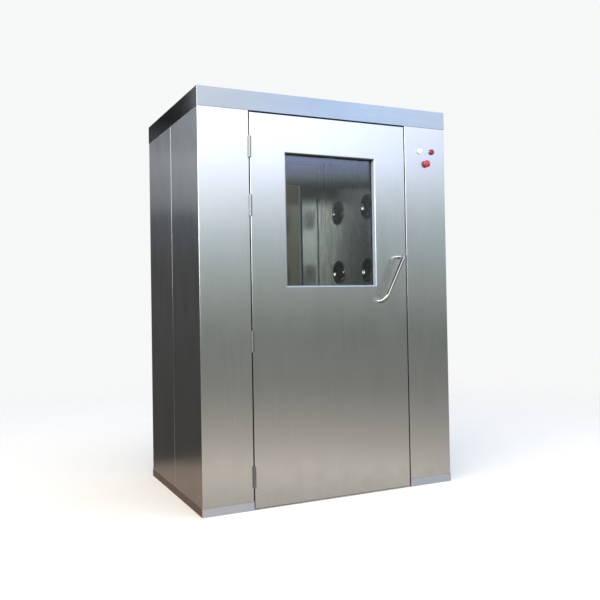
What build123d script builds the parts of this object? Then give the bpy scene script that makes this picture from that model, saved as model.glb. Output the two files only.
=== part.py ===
from build123d import *
import os

os.makedirs("parts", exist_ok=True)

# ---------------------------------------------------------------------------
# Cleanroom air shower: a walk-through cabinet of folded stainless sheet with a
# hinged door at each end and jet nozzles in both inner walls.
# Millimetres.  Origin on the ground at the centre of the footprint, +Z up,
# the front face looks along -Y, +X is the viewer's right.
# The rear end is the front end turned 180 degrees about Z.
# ---------------------------------------------------------------------------

# overall cabinet
W = 1400.0               # width over the header and base
D = 920.0                # depth over the header and base
H = 2000.0               # height
T = 1.5                  # sheet thickness
FOLD = 25.0              # depth of the folded edges of a panel
INSET = 1.5              # wall panels sit this far behind header and base
LIP = 5.0                # depth of a panel's outer lip before its joggle
JOG = 2.0                # joggle that tucks a panel's edge behind the next one
REV = 1.5                # shadow gap between panels, header and base

# heights
BASE_H = 40.0
HEAD_Z = 1907.0          # underside of the header
CEIL_Z = 1850.0          # underside of the chamber's ceiling
GRILLE_Z = 340.0         # top of the return-air grille

# doorway and chamber
DOOR_HALF = 438.0        # half width of a door leaf
GAP = 6.0                # gap beside a leaf
PANEL_IN = DOOR_HALF + GAP
DOOR_Z0, DOOR_Z1 = 5.0, 1900.0
LEAF_T = 44.0
WIN_HALF = 253.3
WIN_Z0, WIN_Z1 = 1061.0, 1715.0
GLASS_T = 6.0
GLASS_DEEP = 26.0        # face of the leaf to the glass
SLOT = 10.0              # how far the glass reaches into the leaf
CLEAR_HALF = 363.0       # half of the clear opening between the jambs
CLEAR_TOP = 1840.0
STOP_Y = 405.0           # face that the door closes towards
CHAMBER_Y = 370.0        # chamber side of the door frames
CHAMBER_HALF = 400.0     # half of the distance between the inner walls
FACE_X = W / 2 - INSET
FACE_Y = D / 2 - INSET

# hinges
HINGE_X = -(DOOR_HALF + GAP / 2)
HINGE_R = 7.0
HINGE_Y = -(FACE_Y + HINGE_R)
HINGE_LEN = 101.6
HINGE_Z = (1681.0, 1399.0, 749.0, 106.0)   # lower end of each hinge
KNUCKLE = HINGE_LEN / 5
PIN_R = 3.0

# handle: a round tube, mounted leaning, a tight bend above and a wide one below
HANDLE_TOP = (393.0, 1210.0)
HANDLE_LOW = (275.0, 979.0)
HANDLE_OUT = 50.0
HANDLE_R = 10.5
HANDLE_BENDS = (20.0, 38.0)

# lamps and push button on the fixed panel beside the door
LAMP_Z = 1778.0
LAMP_X = (535.0, 614.0)
BUTTON_X, BUTTON_Z = 577.0, 1712.0

# jet nozzles
NOZZLE_Y = (-135.0, 215.0)        # columns of the right wall
NOZZLE_Z = (790.0, 1152.0, 1515.0)
FLANGE_R = 74.0
WALL_HOLE_R = 69.0
BALL_R = 34.0
BALL_DEEP = 32.0         # centre of the ball behind the wall's face
JET_R = 15.0


def block(x0, x1, y0, y1, z0, z1, mode=Mode.ADD):
    """A box between two corners, in the open part."""
    with Locations(((x0 + x1) / 2, (y0 + y1) / 2, (z0 + z1) / 2)):
        Box(abs(x1 - x0), abs(y1 - y0), abs(z1 - z0), mode=mode)


def save(part, name):
    part.label = name
    export_step(part, f"parts/{name}.step")


def save_rear(part, name):
    """The rear end's copy, turned 180 degrees about Z."""
    with BuildPart() as rear:
        add(part.rotate(Axis.Z, 180))
    save(rear.part, name)


def save_mirror(part, name):
    """The copy on the other side of the YZ plane."""
    with BuildPart() as other:
        mirror(part, about=Plane.YZ)
    save(other.part, name)


# ------------------------------------------------------------------ plinths
with BuildPart() as base_left:
    block(-W / 2, -PANEL_IN + 1, -D / 2, D / 2, 0, BASE_H)
    fillet(base_left.edges().filter_by(Axis.Z).group_by(Axis.X)[0], 2.5)
    block(-W / 2 + T, -PANEL_IN + 1 - T, -D / 2 + T, D / 2 - T, 0, BASE_H - T,
          mode=Mode.SUBTRACT)
save(base_left.part, "base_left")
save_mirror(base_left.part, "base_right")

# floor of the chamber, a shallow inverted tray between the plinths
with BuildPart() as floor_deck:
    block(-PANEL_IN + 1, PANEL_IN - 1, -STOP_Y, STOP_Y, 0, BASE_H)
    fillet(floor_deck.faces().sort_by(Axis.Z)[-1].edges().filter_by(Axis.X), 1.2)
    block(-PANEL_IN + 3, PANEL_IN - 3, -STOP_Y + 2, STOP_Y - 2, 0, BASE_H - 2,
          mode=Mode.SUBTRACT)
save(floor_deck.part, "floor_deck")


# ------------------------------------------------- fixed panels beside a door
def fixed_panel(with_controls):
    """Panel to the right of the front door: a folded tray, joggled at the
    cabinet's corner, above the base and below the header."""
    with BuildPart() as p:
        block(PANEL_IN, FACE_X, -FACE_Y, -FACE_Y + LIP, BASE_H + 1, HEAD_Z - REV)
        block(PANEL_IN, FACE_X - JOG, -FACE_Y + LIP, -FACE_Y + FOLD, BASE_H, HEAD_Z)
        rim = p.edges().filter_by(Axis.Z).group_by(Axis.Y)[0].sort_by(Axis.X)
        fillet(rim[-1], 3.5)
        rim = p.edges().filter_by(Axis.Z).group_by(Axis.Y)[0].sort_by(Axis.X)
        fillet(rim[0], 2.0)
        block(PANEL_IN + T, FACE_X - JOG - T, -FACE_Y + T, -FACE_Y + FOLD,
              BASE_H + 1 + T, HEAD_Z - REV - T, mode=Mode.SUBTRACT)
        if with_controls:
            with BuildSketch(Plane.XZ.offset(FACE_Y + 1)) as holes:
                with Locations((LAMP_X[0], LAMP_Z), (LAMP_X[1], LAMP_Z),
                               (BUTTON_X, BUTTON_Z)):
                    Circle(11.5)
            extrude(amount=-4, mode=Mode.SUBTRACT)
    return p.part


panel_controls = fixed_panel(True)
panel_plain = fixed_panel(False)
save(panel_controls, "front_panel_right")
save_mirror(panel_plain, "front_panel_left")
save_rear(panel_controls, "rear_panel_left")
with BuildPart() as rear_panel_right:
    mirror(panel_plain, about=Plane.XZ)
save(rear_panel_right.part, "rear_panel_right")


# --------------------------------------------------------------- side panels
with BuildPart() as side_panel:
    # left side, front half
    block(-FACE_X, -FACE_X + T, -FACE_Y + LIP + 0.5, -0.4, BASE_H + 1, HEAD_Z - REV)
    block(-FACE_X, -FACE_X + LIP, -FACE_Y + FOLD + 0.5, -0.4, BASE_H + 1, HEAD_Z - REV)
    block(-FACE_X + LIP, -FACE_X + FOLD, -FACE_Y + FOLD + 0.5, 0, BASE_H, HEAD_Z)
    seam = side_panel.edges().filter_by(Axis.Z).group_by(Axis.X)[0].sort_by(Axis.Y)
    fillet(seam[-1], 2.5)
    block(-FACE_X + T, -FACE_X + FOLD, -FACE_Y + FOLD + 0.5 + T, -0.4 - T,
          BASE_H + 1 + T, HEAD_Z - REV - T, mode=Mode.SUBTRACT)
save(side_panel.part, "side_panel_left_front")
save_mirror(side_panel.part, "side_panel_right_front")
save_rear(side_panel.part, "side_panel_right_rear")
with BuildPart() as side_panel_left_rear:
    mirror(side_panel.part, about=Plane.XZ)
save(side_panel_left_rear.part, "side_panel_left_rear")


# -------------------------------------------------------------------- header
with BuildPart() as header_front:
    block(-W / 2, W / 2, -D / 2, -D / 2 + LIP, HEAD_Z, H)
    block(-W / 2 + JOG, W / 2 - JOG, -D / 2 + LIP, -D / 2 + FOLD, HEAD_Z, H)
    ends = header_front.edges().filter_by(Axis.Z).group_by(Axis.Y)[0]
    fillet(ends, 2.5)
    top = (header_front.edges().filter_by(Axis.X).group_by(Axis.Z)[-1]
           .sort_by(Axis.Y)[0])
    fillet(top, 2.0)
    block(-W / 2 + JOG + T, W / 2 - JOG - T, -D / 2 + T, -D / 2 + FOLD,
          HEAD_Z + T, H - T, mode=Mode.SUBTRACT)
save(header_front.part, "header_front")
save_rear(header_front.part, "header_rear")

with BuildPart() as header_left:
    block(-W / 2, -W / 2 + T, -D / 2 + LIP + 0.5, D / 2 - LIP - 0.5, HEAD_Z, H)
    block(-W / 2, -W / 2 + FOLD, -D / 2 + FOLD, D / 2 - FOLD, HEAD_Z, H)
    block(-W / 2 + T, -W / 2 + FOLD, -D / 2 + FOLD + T, D / 2 - FOLD - T,
          HEAD_Z + T, H - T, mode=Mode.SUBTRACT)
save(header_left.part, "header_left")
save_mirror(header_left.part, "header_right")

# roof, let in between the header's top folds
with BuildPart() as roof_panel:
    block(-W / 2 + FOLD + 1, W / 2 - FOLD - 1, -D / 2 + FOLD + 1, D / 2 - FOLD - 1,
          H - LIP, H)
    block(-W / 2 + FOLD, W / 2 - FOLD, -D / 2 + FOLD, D / 2 - FOLD, H - FOLD, H - LIP)
    fillet(roof_panel.faces().sort_by(Axis.Z)[-1].edges(), 1.5)
    block(-W / 2 + FOLD + 1 + T, W / 2 - FOLD - 1 - T, -D / 2 + FOLD + 1 + T,
          D / 2 - FOLD - 1 - T, H - FOLD, H - T, mode=Mode.SUBTRACT)
save(roof_panel.part, "roof_panel")


# --------------------------------------------------------- chamber's interior
with BuildPart() as inner_wall_right:
    block(CHAMBER_HALF, CHAMBER_HALF + FOLD, -CHAMBER_Y + 0.5, CHAMBER_Y - 0.5,
          GRILLE_Z + 0.5, CEIL_Z)
    block(CHAMBER_HALF + T, CHAMBER_HALF + FOLD, -CHAMBER_Y + 0.5 + T,
          CHAMBER_Y - 0.5 - T, GRILLE_Z + 0.5 + T, CEIL_Z - T, mode=Mode.SUBTRACT)
    with BuildSketch(Plane.YZ.offset(CHAMBER_HALF - 1)) as holes:
        with Locations(*[(y, z) for y in NOZZLE_Y for z in NOZZLE_Z]):
            Circle(WALL_HOLE_R)
    extrude(amount=5, mode=Mode.SUBTRACT)
save(inner_wall_right.part, "inner_wall_right")
save_rear(inner_wall_right.part, "inner_wall_left")

# return-air grilles, the lowest strip of each inner wall
with BuildPart() as return_grilles:
    for s in (-1, 1):
        block(s * CHAMBER_HALF, s * (CHAMBER_HALF + FOLD), -CHAMBER_Y + 0.5,
              CHAMBER_Y - 0.5, BASE_H, GRILLE_Z - 0.5)
        block(s * (CHAMBER_HALF + T), s * (CHAMBER_HALF + FOLD), -CHAMBER_Y + 0.5 + T,
              CHAMBER_Y - 0.5 - T, BASE_H + T, GRILLE_Z - 0.5 - T, mode=Mode.SUBTRACT)
save(return_grilles.part, "return_grilles")

LIGHT_X, LIGHT_Y = 300.0, 90.0     # half sizes of the light in the ceiling
with BuildPart() as ceiling_panel:
    block(-CHAMBER_HALF - FOLD, CHAMBER_HALF + FOLD, -CHAMBER_Y, CHAMBER_Y,
          CEIL_Z, CEIL_Z + FOLD)
    block(-CHAMBER_HALF - FOLD + T, CHAMBER_HALF + FOLD - T, -CHAMBER_Y + T,
          CHAMBER_Y - T, CEIL_Z + T, CEIL_Z + FOLD, mode=Mode.SUBTRACT)
    block(-LIGHT_X, LIGHT_X, -LIGHT_Y, LIGHT_Y, CEIL_Z - 1, CEIL_Z + 3,
          mode=Mode.SUBTRACT)
save(ceiling_panel.part, "ceiling_panel")

with BuildPart() as ceiling_light:
    block(-LIGHT_X + 0.5, LIGHT_X - 0.5, -LIGHT_Y + 0.5, LIGHT_Y - 0.5,
          CEIL_Z, CEIL_Z + T)
    block(-LIGHT_X - 12, LIGHT_X + 12, -LIGHT_Y - 12, LIGHT_Y + 12,
          CEIL_Z + T, CEIL_Z + 22)
save(ceiling_light.part, "ceiling_light")


# --------------------------------------------------------------- door frames
with BuildPart() as door_jambs:
    for s in (-1, 1):
        block(s * PANEL_IN, s * (PANEL_IN + T), -FACE_Y + FOLD, -STOP_Y + T,
              BASE_H, HEAD_Z)
        block(s * CLEAR_HALF, s * (PANEL_IN + T), -STOP_Y, -STOP_Y + T,
              BASE_H, HEAD_Z)
        block(s * CLEAR_HALF, s * (CLEAR_HALF + T), -STOP_Y, -CHAMBER_Y,
              BASE_H, CEIL_Z)
        block(s * CLEAR_HALF, s * (CHAMBER_HALF + 1), -CHAMBER_Y - T, -CHAMBER_Y,
              BASE_H, CEIL_Z)
save(door_jambs.part, "door_jambs_front")
save_rear(door_jambs.part, "door_jambs_rear")

with BuildPart() as door_head:
    block(-PANEL_IN - T, PANEL_IN + T, -D / 2 + FOLD, -STOP_Y,
          HEAD_Z, HEAD_Z + T)
    block(-CLEAR_HALF, CLEAR_HALF, -STOP_Y, -STOP_Y + T, CLEAR_TOP, HEAD_Z + T)
    block(-CLEAR_HALF, CLEAR_HALF, -STOP_Y, -CHAMBER_Y, CLEAR_TOP, CLEAR_TOP + T)
    block(-CLEAR_HALF, CLEAR_HALF, -CHAMBER_Y - T, -CHAMBER_Y, CLEAR_TOP, CEIL_Z)
save(door_head.part, "door_head_front")
save_rear(door_head.part, "door_head_rear")

# rubber seals on the frames, 5 mm short of the closed leaf
with BuildPart() as door_seals:
    for s in (-1, 1):
        y0 = s * STOP_Y
        y1 = s * (FACE_Y - LEAF_T - 5)
        block(-381, 381, y0, y1, 20, 1864)
        block(-369, 369, y0, y1, 32, 1852, mode=Mode.SUBTRACT)
save(door_seals.part, "door_seals")


# ------------------------------------------------------------------- nozzles
def nozzle_places():
    """Right wall's nozzles and the left wall's, which is turned 180 degrees."""
    right = [(CHAMBER_HALF, y, z, 1) for y in NOZZLE_Y for z in NOZZLE_Z]
    return right + [(-x, -y, z, -1) for (x, y, z, s) in right]


# spun bowl: u runs into the chamber, r is the radius
with BuildPart() as nozzle_bowl:
    with BuildSketch(Plane.XZ) as bowl_profile:
        with BuildLine():
            ThreePointArc((38.99, -31.62), (56.01, -19.02), (67.39, -1.16))
            Polyline((67.39, -1.16), (WALL_HOLE_R - 0.5, 0), (FLANGE_R, 0),
                     (FLANGE_R, 2.0), (FLANGE_R - 2, 3.5), (70, 3.5), (67.6, 1.5),
                     (66, -0.6))
            ThreePointArc((66, -0.6), (54.91, -18.00), (38.33, -30.27))
            Polyline((38.33, -30.27), (36, -31.0), (34.1, -31.0), (34.1, -34.0),
                     (36.6, -34.0), (38.99, -31.62))
        make_face()
    revolve(axis=Axis.Z)

# ball with its jet bore, held in the bowl's seat
with BuildPart() as nozzle_ball:
    Sphere(BALL_R)
    with Locations((0, 0, 0)):
        Cylinder(JET_R, 3 * BALL_R, mode=Mode.SUBTRACT)
    jet_rim = nozzle_ball.edges().group_by(Axis.Z)[-1]
    fillet(jet_rim, 1.5)

bowls, balls = [], []
for (x, y, z, s) in nozzle_places():
    wall = Plane(origin=(x, y, z), x_dir=(0, 1, 0), z_dir=(-s, 0, 0))
    bowls.append(wall.location * nozzle_bowl.part)
    balls.append(wall.location * Pos(0, 0, -BALL_DEEP) * nozzle_ball.part)
with BuildPart() as nozzle_bowls:
    add(bowls)
save(nozzle_bowls.part, "nozzle_bowls")
with BuildPart() as nozzle_balls:
    add(balls)
save(nozzle_balls.part, "nozzle_balls")


# ------------------------------------------------------ lamps and push button
def control(x, z, profile):
    """A turned piece on the front panel; profile is (radius, out from face)."""
    with BuildPart() as p:
        with BuildSketch(Plane.XY) as s:
            with BuildLine():
                Polyline(*profile, profile[0])
            make_face()
        revolve(axis=Axis.Y)
    return Pos(x, -FACE_Y, z) * Rot(0, 0, 180) * p.part


LENS = [(0, 3), (14.2, 3), (14.2, 8.5), (13.2, 10.6), (10.5, 12), (6, 12.8), (0, 13)]
BEZEL = [(0, -30), (11, -30), (11, 0), (15.5, 0), (15.5, 2.2), (14.9, 3), (0, 3)]
COLLAR = [(6.7, 0), (6.7, -8), (0, -8), (0, -40), (11, -40), (11, 0), (15, 0),
          (15, 2.2), (13.5, 3.5), (6.7, 3.5)]
MUSHROOM = [(0, -2), (6.1, -2), (6.1, 10), (16.8, 10), (19.0, 11.3), (19.5, 13.4),
            (18.9, 16.0), (15.5, 18.4), (9, 19.8), (0, 20.2)]


def both_ends(solids, name):
    with BuildPart() as p:
        add(solids)
        add([q.rotate(Axis.Z, 180) for q in solids])
    save(p.part, name)


both_ends([control(LAMP_X[0], LAMP_Z, LENS)], "white_lamps")
both_ends([control(LAMP_X[1], LAMP_Z, LENS)], "red_lamps")
both_ends([control(x, LAMP_Z, BEZEL) for x in LAMP_X], "lamp_bases")
both_ends([control(BUTTON_X, BUTTON_Z, COLLAR)], "button_collars")

with BuildPart() as stop_button:
    add(control(BUTTON_X, BUTTON_Z, MUSHROOM))
save(stop_button.part, "stop_button_front")
save_rear(stop_button.part, "stop_button_rear")


# -------------------------------------------------------------------- hinges
def hinge_half(z0, moving):
    """Leaf in the door's gap with its knuckles; the pin stays on the cabinet."""
    edge = -DOOR_HALF if moving else -PANEL_IN
    inner = edge - 1.8 if moving else edge + 1.8
    with BuildPart() as h:
        block(min(edge, inner), max(edge, inner), HINGE_Y + 7.6, HINGE_Y + 40,
              z0, z0 + HINGE_LEN)
        for i in range(5):
            if (i % 2 == 1) != moving:
                continue
            a = z0 + i * KNUCKLE + 0.25
            b = z0 + (i + 1) * KNUCKLE - 0.25
            with BuildSketch(Plane.XY.offset(a)):
                with Locations((HINGE_X, HINGE_Y)):
                    Circle(HINGE_R)
            extrude(amount=b - a)
            block(min(edge, inner), max(edge, inner), HINGE_Y + 1, HINGE_Y + 8, a, b)
        if moving:
            with BuildSketch(Plane.XY.offset(z0 - 2)):
                with Locations((HINGE_X, HINGE_Y)):
                    Circle(PIN_R + 0.1)
            extrude(amount=HINGE_LEN + 4, mode=Mode.SUBTRACT)
        else:
            with BuildSketch(Plane.XY.offset(z0 - 0.6)):
                with Locations((HINGE_X, HINGE_Y)):
                    Circle(PIN_R)
            extrude(amount=HINGE_LEN + 1.2)
    return h.part


both_ends([hinge_half(z, False) for z in HINGE_Z], "hinge_halves_fixed")
with BuildPart() as hinge_halves_door:
    add([hinge_half(z, True) for z in HINGE_Z])
save(hinge_halves_door.part, "hinge_halves_front_door")
save_rear(hinge_halves_door.part, "hinge_halves_rear_door")


# ---------------------------------------------------------------------- door
with BuildPart() as door_leaf:
    block(-DOOR_HALF, DOOR_HALF, -FACE_Y, -FACE_Y + LEAF_T, DOOR_Z0, DOOR_Z1)
    fillet(door_leaf.faces().sort_by(Axis.Y)[0].edges(), 2.5)
    block(-WIN_HALF, WIN_HALF, -FACE_Y - 1, -FACE_Y + LEAF_T + 1, WIN_Z0, WIN_Z1,
          mode=Mode.SUBTRACT)
    window_rim = (door_leaf.faces().sort_by(Axis.Y)[0].inner_wires()[0].edges())
    fillet(window_rim, 4.0)
    block(-WIN_HALF - SLOT, WIN_HALF + SLOT, -FACE_Y + GLASS_DEEP - 0.25,
          -FACE_Y + GLASS_DEEP + GLASS_T + 0.25, WIN_Z0 - SLOT, WIN_Z1 + SLOT,
          mode=Mode.SUBTRACT)
save(door_leaf.part, "door_leaf_front")
save_rear(door_leaf.part, "door_leaf_rear")

with BuildPart() as window_glass:
    block(-WIN_HALF - SLOT + 2, WIN_HALF + SLOT - 2, -FACE_Y + GLASS_DEEP - 0.25,
          -FACE_Y + GLASS_DEEP + GLASS_T + 0.25, WIN_Z0 - SLOT, WIN_Z1 + SLOT - 2)
save(window_glass.part, "window_glass_front")
save_rear(window_glass.part, "window_glass_rear")

# grey glazing strips that line the opening, in front of the glass and behind it
with BuildPart() as window_seal:
    for y0, y1 in ((-FACE_Y + 5, -FACE_Y + GLASS_DEEP - 0.25),
                   (-FACE_Y + GLASS_DEEP + GLASS_T + 0.25, -FACE_Y + LEAF_T - 2)):
        block(-WIN_HALF, WIN_HALF, y0, y1, WIN_Z0, WIN_Z1)
        block(-WIN_HALF + 2.5, WIN_HALF - 2.5, y0, y1, WIN_Z0 + 2.5, WIN_Z1 - 2.5,
              mode=Mode.SUBTRACT)
save(window_seal.part, "window_seal_front")
save_rear(window_seal.part, "window_seal_rear")

# handle: a bent tube with both ends on the leaf's face
with BuildPart() as door_handle:
    x1, z1 = HANDLE_TOP
    x2, z2 = HANDLE_LOW
    with BuildLine() as handle_path:
        FilletPolyline((x1, -FACE_Y, z1), (x1, -FACE_Y - HANDLE_OUT, z1),
                       (x2, -FACE_Y - HANDLE_OUT, z2), (x2, -FACE_Y, z2),
                       radius=list(HANDLE_BENDS))
    with BuildSketch(Plane(origin=(x1, -FACE_Y, z1), z_dir=(0, -1, 0))) as tube:
        Circle(HANDLE_R)
    sweep()
save(door_handle.part, "door_handle_front")
save_rear(door_handle.part, "door_handle_rear")
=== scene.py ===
import math
import random

import bmesh
import bpy
from mathutils import Matrix, Vector


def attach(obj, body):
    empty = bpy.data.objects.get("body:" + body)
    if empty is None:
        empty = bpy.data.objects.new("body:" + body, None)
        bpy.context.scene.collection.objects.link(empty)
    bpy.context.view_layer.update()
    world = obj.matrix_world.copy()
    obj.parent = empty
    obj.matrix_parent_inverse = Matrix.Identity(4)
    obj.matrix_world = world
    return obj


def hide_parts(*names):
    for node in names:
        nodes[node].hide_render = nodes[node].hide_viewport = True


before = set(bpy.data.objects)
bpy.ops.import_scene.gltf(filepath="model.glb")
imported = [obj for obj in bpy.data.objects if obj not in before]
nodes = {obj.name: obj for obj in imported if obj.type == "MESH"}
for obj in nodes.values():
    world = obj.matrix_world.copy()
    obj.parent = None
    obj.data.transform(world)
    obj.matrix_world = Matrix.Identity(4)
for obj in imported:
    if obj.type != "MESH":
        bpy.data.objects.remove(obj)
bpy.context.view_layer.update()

random.seed(7)
scene = bpy.context.scene

# ------------------------------------------------------------------ numbers
# metres, the same places as in the solids
FACE_X, FACE_Y = 0.6985, 0.4585
WALL_X = 0.400                        # chamber's inner walls
CHAMBER_Y = 0.370
CEIL_Z, GRILLE_Z, BASE_Z = 1.850, 0.340, 0.040
NOZZLE_Y = (-0.135, 0.215)
NOZZLE_Z = (0.790, 1.152, 1.515)


# ---------------------------------------------------------------- shader kit
class Nodes:
    """A small helper that adds and links shader nodes."""

    def __init__(self, tree):
        self.t = tree
        self.t.nodes.clear()

    def add(self, kind, **settings):
        n = self.t.nodes.new(kind)
        inputs = settings.pop("inputs", {})
        for k, v in settings.items():
            setattr(n, k, v)
        for k, v in inputs.items():
            self.put(n.inputs[k], v)
        return n

    def put(self, socket, v):
        if isinstance(v, bpy.types.NodeSocket):
            self.t.links.new(v, socket)
        elif v is not None:
            socket.default_value = v

    def math(self, op, a, b=None, c=None, clamp=False):
        n = self.add("ShaderNodeMath", operation=op, use_clamp=clamp)
        for s, v in zip(n.inputs, (a, b, c)):
            self.put(s, v)
        return n.outputs[0]

    def vec(self, op, a, b=None):
        n = self.add("ShaderNodeVectorMath", operation=op)
        self.put(n.inputs[0], a)
        if b is not None:
            self.put(n.inputs[1], b)
        return n.outputs[0] if op != "DOT_PRODUCT" else n.outputs["Value"]

    def remap(self, v, a, b, c=0.0, d=1.0, smooth=False):
        n = self.add("ShaderNodeMapRange",
                     interpolation_type="SMOOTHSTEP" if smooth else "LINEAR")
        n.clamp = True
        for s, x in zip(("Value", "From Min", "From Max", "To Min", "To Max"),
                        (v, a, b, c, d)):
            self.put(n.inputs[s], x)
        return n.outputs["Result"]

    def mix(self, f, a, b, kind="MIX"):
        n = self.add("ShaderNodeMix", data_type="RGBA", blend_type=kind)
        self.put(n.inputs[0], f)
        self.put(n.inputs[6], a)
        self.put(n.inputs[7], b)
        return n.outputs[2]

    def noise(self, vector, scale, detail=2.0, rough=0.5):
        n = self.add("ShaderNodeTexNoise")
        self.put(n.inputs["Vector"], vector)
        n.inputs["Scale"].default_value = scale
        n.inputs["Detail"].default_value = detail
        n.inputs["Roughness"].default_value = rough
        return n.outputs["Fac"]

    def scaled(self, vector, s):
        n = self.add("ShaderNodeMapping")
        self.put(n.inputs["Vector"], vector)
        n.inputs["Scale"].default_value = s
        return n.outputs["Vector"]

    def ramp(self, v, stops, kind="LINEAR"):
        n = self.add("ShaderNodeValToRGB")
        n.color_ramp.interpolation = kind
        e = n.color_ramp.elements
        while len(e) < len(stops):
            e.new(0.5)
        for k, (p, c) in zip(e, stops):
            k.position = p
        for k, (p, c) in zip(e, stops):
            k.position = p
            k.color = (c[0], c[1], c[2], 1)
        self.put(n.inputs["Fac"], v)
        return n.outputs["Color"]


def new_material(name):
    m = bpy.data.materials.new(name)
    m.use_nodes = True
    return m, Nodes(m.node_tree)


def principled(k, **inputs):
    b = k.add("ShaderNodeBsdfPrincipled")
    for name, v in inputs.items():
        k.put(b.inputs[name.replace("_", " ")], v)
    out = k.add("ShaderNodeOutputMaterial")
    k.t.links.new(b.outputs[0], out.inputs["Surface"])
    return b


# Brushed stainless steel.  grain: the direction the hairlines run in.
STRETCH = {"z": (1.0, 1.0, 0.006), "x": (0.006, 1.0, 1.0), "y": (1.0, 0.006, 1.0),
           "h": (0.006, 0.006, 1.0)}


def steel(name, grain, tone=(0.60, 0.62, 0.63), rough=0.22, aniso=0.9, streak=1.0,
          dirt=0.0, low=0.0, bump=1.0, mark=1.0, plinth_ground_reflection=None):
    m, k = new_material(name)
    pos = k.add("ShaderNodeTexCoord").outputs["Object"]
    along = k.scaled(pos, STRETCH[grain])
    fine = k.noise(along, 900.0, 3.0, 0.65)
    medium = k.noise(along, 160.0, 2.0, 0.5)
    wide = k.noise(k.scaled(pos, tuple(0.35 if s < 0.5 else 1.0
                                       for s in STRETCH[grain])), 9.0, 2.0, 0.5)
    cloud = k.noise(pos, 2.2, 3.0, 0.5)
    smudge = k.noise(pos, 11.0, 4.0, 0.6)

    # colour: hairlines, broad rolling bands, and a little dirt near the ground
    light = tuple(min(1.0, c * (1 + 0.10 * streak)) for c in tone) + (1,)
    dark = tuple(c * (1 - 0.12 * streak) for c in tone) + (1,)
    col = k.mix(k.remap(fine, 0.25, 0.75), dark, light)
    col = k.mix(k.remap(medium, 0.3, 0.7, 0.0, 0.5 * streak),
                col, tuple(c * 0.95 for c in tone) + (1,))
    col = k.mix(k.remap(cloud, 0.35, 0.7, 0.0, 0.35), col,
                (tone[0] * 0.97, tone[1] * 0.99, tone[2] * 1.01, 1))
    sep = k.add("ShaderNodeSeparateXYZ")
    k.put(sep.inputs[0], pos)
    z = sep.outputs["Z"]
    near_ground = k.remap(z, low + 0.22, low, 0.0, 1.0, smooth=True)
    scuff = k.math("MULTIPLY", near_ground, k.remap(smudge, 0.35, 0.75))
    if dirt > 0:
        col = k.mix(k.math("MULTIPLY", scuff, dirt), col,
                    (tone[0] * 0.62, tone[1] * 0.57, tone[2] * 0.50, 1))

    if plinth_ground_reflection:
        # painted reflection: a patchy brown tint on the outside faces of the plinths, as if
        # mirroring the ground
        out = k.remap(k.math("ABSOLUTE", sep.outputs["X"]), 0.6965, 0.6990)
        out = k.math("MULTIPLY", out, k.remap(smudge, 0.25, 0.65, 0.75, 1.0))
        col = k.mix(out, col, plinth_ground_reflection + (1,))

    # gloss: hairlines vary it, handling marks dull it in soft patches
    r = k.math("ADD", k.remap(fine, 0.2, 0.8, rough * 0.80, rough * 1.22),
               k.remap(wide, 0.3, 0.7, -0.012, 0.018))
    r = k.math("ADD", r, k.remap(smudge, 0.52, 0.85, 0.0, 0.022 * mark))
    r = k.math("ADD", r, k.math("MULTIPLY", scuff, 0.05 * mark))

    hair = k.add("ShaderNodeBump")
    hair.inputs["Strength"].default_value = 0.10 * bump
    hair.inputs["Distance"].default_value = 0.00025
    k.put(hair.inputs["Height"], fine)
    wave = k.add("ShaderNodeBump")
    wave.inputs["Strength"].default_value = 0.35 * bump
    wave.inputs["Distance"].default_value = 0.0012
    k.put(wave.inputs["Height"], cloud)
    k.put(wave.inputs["Normal"], hair.outputs[0])

    geo = k.add("ShaderNodeNewGeometry")
    if grain == "z":
        tangent = k.vec("CROSS_PRODUCT", geo.outputs["Normal"], (0.012, 0.02, 1.0))
    elif grain == "h":
        tangent = k.vec("CROSS_PRODUCT", geo.outputs["Normal"],
                        k.vec("CROSS_PRODUCT", geo.outputs["Normal"], (0.012, 0.02, 1.0)))
    elif grain == "x":
        tangent = k.vec("CROSS_PRODUCT", geo.outputs["Normal"], (1.0, 0.012, 0.02))
    else:
        tangent = k.vec("CROSS_PRODUCT", geo.outputs["Normal"], (0.012, 1.0, 0.02))
    principled(k, Base_Color=col, Metallic=1.0, Roughness=r, Anisotropic=aniso,
               Tangent=tangent, Normal=wave.outputs[0])
    return m


def chrome(name, tone=(0.66, 0.66, 0.67), rough=0.06, smear=0.06):
    m, k = new_material(name)
    pos = k.add("ShaderNodeTexCoord").outputs["Object"]
    wipe = k.noise(k.scaled(pos, (1, 1, 0.25)), 120.0, 3.0, 0.6)
    spots = k.noise(pos, 35.0, 4.0, 0.6)
    polish = k.noise(k.scaled(pos, (1, 1, 0.08)), 1400.0, 2.0, 0.5)
    col = k.mix(k.remap(spots, 0.4, 0.75, 0.0, 0.5), tone + (1,),
                tuple(c * 0.86 for c in tone) + (1,))
    r = k.math("ADD", k.remap(wipe, 0.35, 0.75, rough * 0.7, rough + smear),
               k.remap(spots, 0.6, 0.8, 0.0, 0.05))
    b = k.add("ShaderNodeBump")
    b.inputs["Strength"].default_value = 0.06
    b.inputs["Distance"].default_value = 0.0001
    k.put(b.inputs["Height"], polish)
    principled(k, Base_Color=col, Metallic=1.0, Roughness=r, Normal=b.outputs[0])
    return m


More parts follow.
